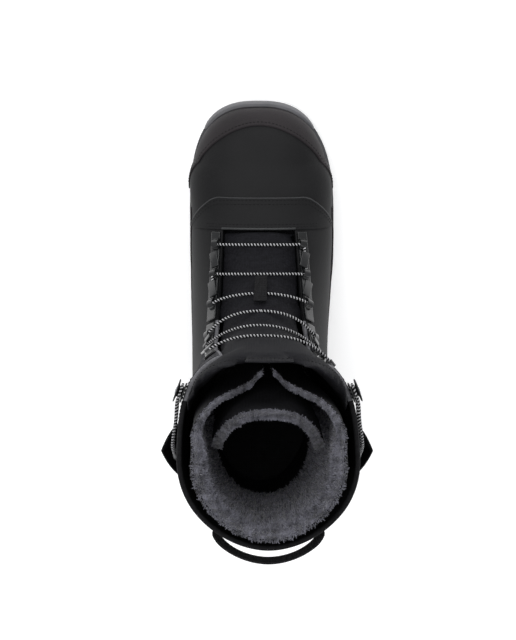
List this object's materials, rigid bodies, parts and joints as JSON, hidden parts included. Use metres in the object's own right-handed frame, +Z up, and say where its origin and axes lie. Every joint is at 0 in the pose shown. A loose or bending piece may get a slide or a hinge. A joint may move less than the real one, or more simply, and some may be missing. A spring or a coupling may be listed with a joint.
{
  "type": "snowboard boot",
  "caption": "Right snowboard boot with a lugged sole, soft flexing shaft, padded tongue, two lace zones with pull handles and a fleece-lined liner.",
  "frame": {"origin": "on the ground, on the tread's face at the middle of the sole's length", "axes": "+Y to the toe, +X to the outside of the right foot, +Z up"},
  "size_m": [0.1514, 0.3079, 0.2984],
  "materials": {
    "outsole_rubber": "matt moulded rubber",
    "bumper_rubber": "matt moulded rubber",
    "midsole_foam": "moulded EVA foam",
    "steel": "satin",
    "board": "matt",
    "upper_synthetic": "smooth matt synthetic leather",
    "toe_rand": "matt synthetic leather",
    "heather_textile": "heather woven textile",
    "tongue_skin": "soft matt synthetic leather",
    "moulded_guide": "satin moulded nylon",
    "lace": "speckled braid",
    "webbing": "woven nylon webbing",
    "liner_fabric": "brushed knit over foam",
    "fleece": "deep pile fleece",
    "footbed_foam": "knit over foam"
  },
  "bodies": {
    "lower": {"outsole_front": "outsole_rubber", "outsole_heel": "outsole_rubber", "midsole": "midsole_foam", "toe_bumper": "bumper_rubber", "shank": "steel", "lasting_board": "board", "vamp": "upper_synthetic", "toe_cap": "toe_rand", "throat_overlay": "upper_synthetic", "quarter_medial": "upper_synthetic", "quarter_lateral": "upper_synthetic", "heel_counter": "toe_rand", "rand_medial": "toe_rand", "rand_lateral": "toe_rand", "tongue_lower": "tongue_skin", "lace_lower": "lace", "guide_strip_medial": "moulded_guide", "guide_strip_lateral": "moulded_guide", "lower_guide_medial_1": "moulded_guide", "lower_guide_medial_2": "moulded_guide", "lower_guide_medial_3": "moulded_guide", "lower_guide_lateral_1": "moulded_guide", "lower_guide_lateral_2": "moulded_guide", "lower_guide_lateral_3": "moulded_guide", "lace_keeper": "webbing", "liner_foot": "liner_fabric", "liner_sole": "liner_fabric", "footbed": "footbed_foam"},
    "cuff": {"cuff_medial": "heather_textile", "cuff_lateral": "heather_textile", "backstay": "upper_synthetic", "cuff_strip_medial": "moulded_guide", "cuff_strip_lateral": "moulded_guide", "upper_guide_medial_1": "moulded_guide", "upper_guide_medial_2": "moulded_guide", "upper_guide_medial_3": "moulded_guide", "upper_guide_lateral_1": "moulded_guide", "upper_guide_lateral_2": "moulded_guide", "upper_guide_lateral_3": "moulded_guide", "lace_upper": "lace", "lace_lock_medial": "moulded_guide", "lace_lock_lateral": "moulded_guide", "lock_rivet_medial": "steel", "lock_rivet_lateral": "steel", "pocket_medial": "heather_textile", "pocket_lateral": "heather_textile", "pull_strand_medial": "lace", "pull_strand_lateral": "lace", "liner_cuff": "liner_fabric", "liner_collar": "fleece"},
    "tongue": {"tongue_shin": "tongue_skin"},
    "liner_tongue": {"liner_tongue": "liner_fabric"},
    "handle_medial": {"pull_handle_medial": "moulded_guide"},
    "handle_lateral": {"pull_handle_lateral": "moulded_guide"},
    "pull_loop": {"pull_loop": "webbing"}
  },
  "joints": [
    {"name": "ankle_flex", "type": "hinge", "parent": "lower", "child": "cuff", "pos_m": [0, -0.07038, 0.108], "axis": [-1, 0, 0], "range_deg": [-3, 10], "stiffness_Nm_per_rad": 25},
    {"name": "tongue_swing", "type": "hinge", "parent": "cuff", "child": "tongue", "pos_m": [0.004, 0.006, 0.139], "axis": [-1, 0, 0], "range_deg": [0, 12], "stiffness_Nm_per_rad": 1.2, "deforming": ["lace_upper"]},
    {"name": "liner_tongue_swing", "type": "hinge", "parent": "cuff", "child": "liner_tongue", "pos_m": [0.004, -0.022, 0.15], "axis": [-1, 0, 0], "range_deg": [0, 6], "stiffness_Nm_per_rad": 1.2},
    {"name": "handle_medial_pull", "type": "slide", "parent": "cuff", "child": "handle_medial", "axis": [-0.1682, 0.0491, 0.9845], "range_m": [0, 0.08], "deforming": ["pull_strand_medial"]},
    {"name": "handle_lateral_pull", "type": "slide", "parent": "cuff", "child": "handle_lateral", "axis": [0.2316, 0.0514, 0.9714], "range_m": [0, 0.08], "deforming": ["pull_strand_lateral"]},
    {"name": "pull_loop_swing", "type": "hinge", "parent": "cuff", "child": "pull_loop", "pos_m": [0.0058, -0.1246, 0.26], "axis": [-1, 0, 0], "range_deg": [-18, 18], "stiffness_Nm_per_rad": 0.05}
  ]
}
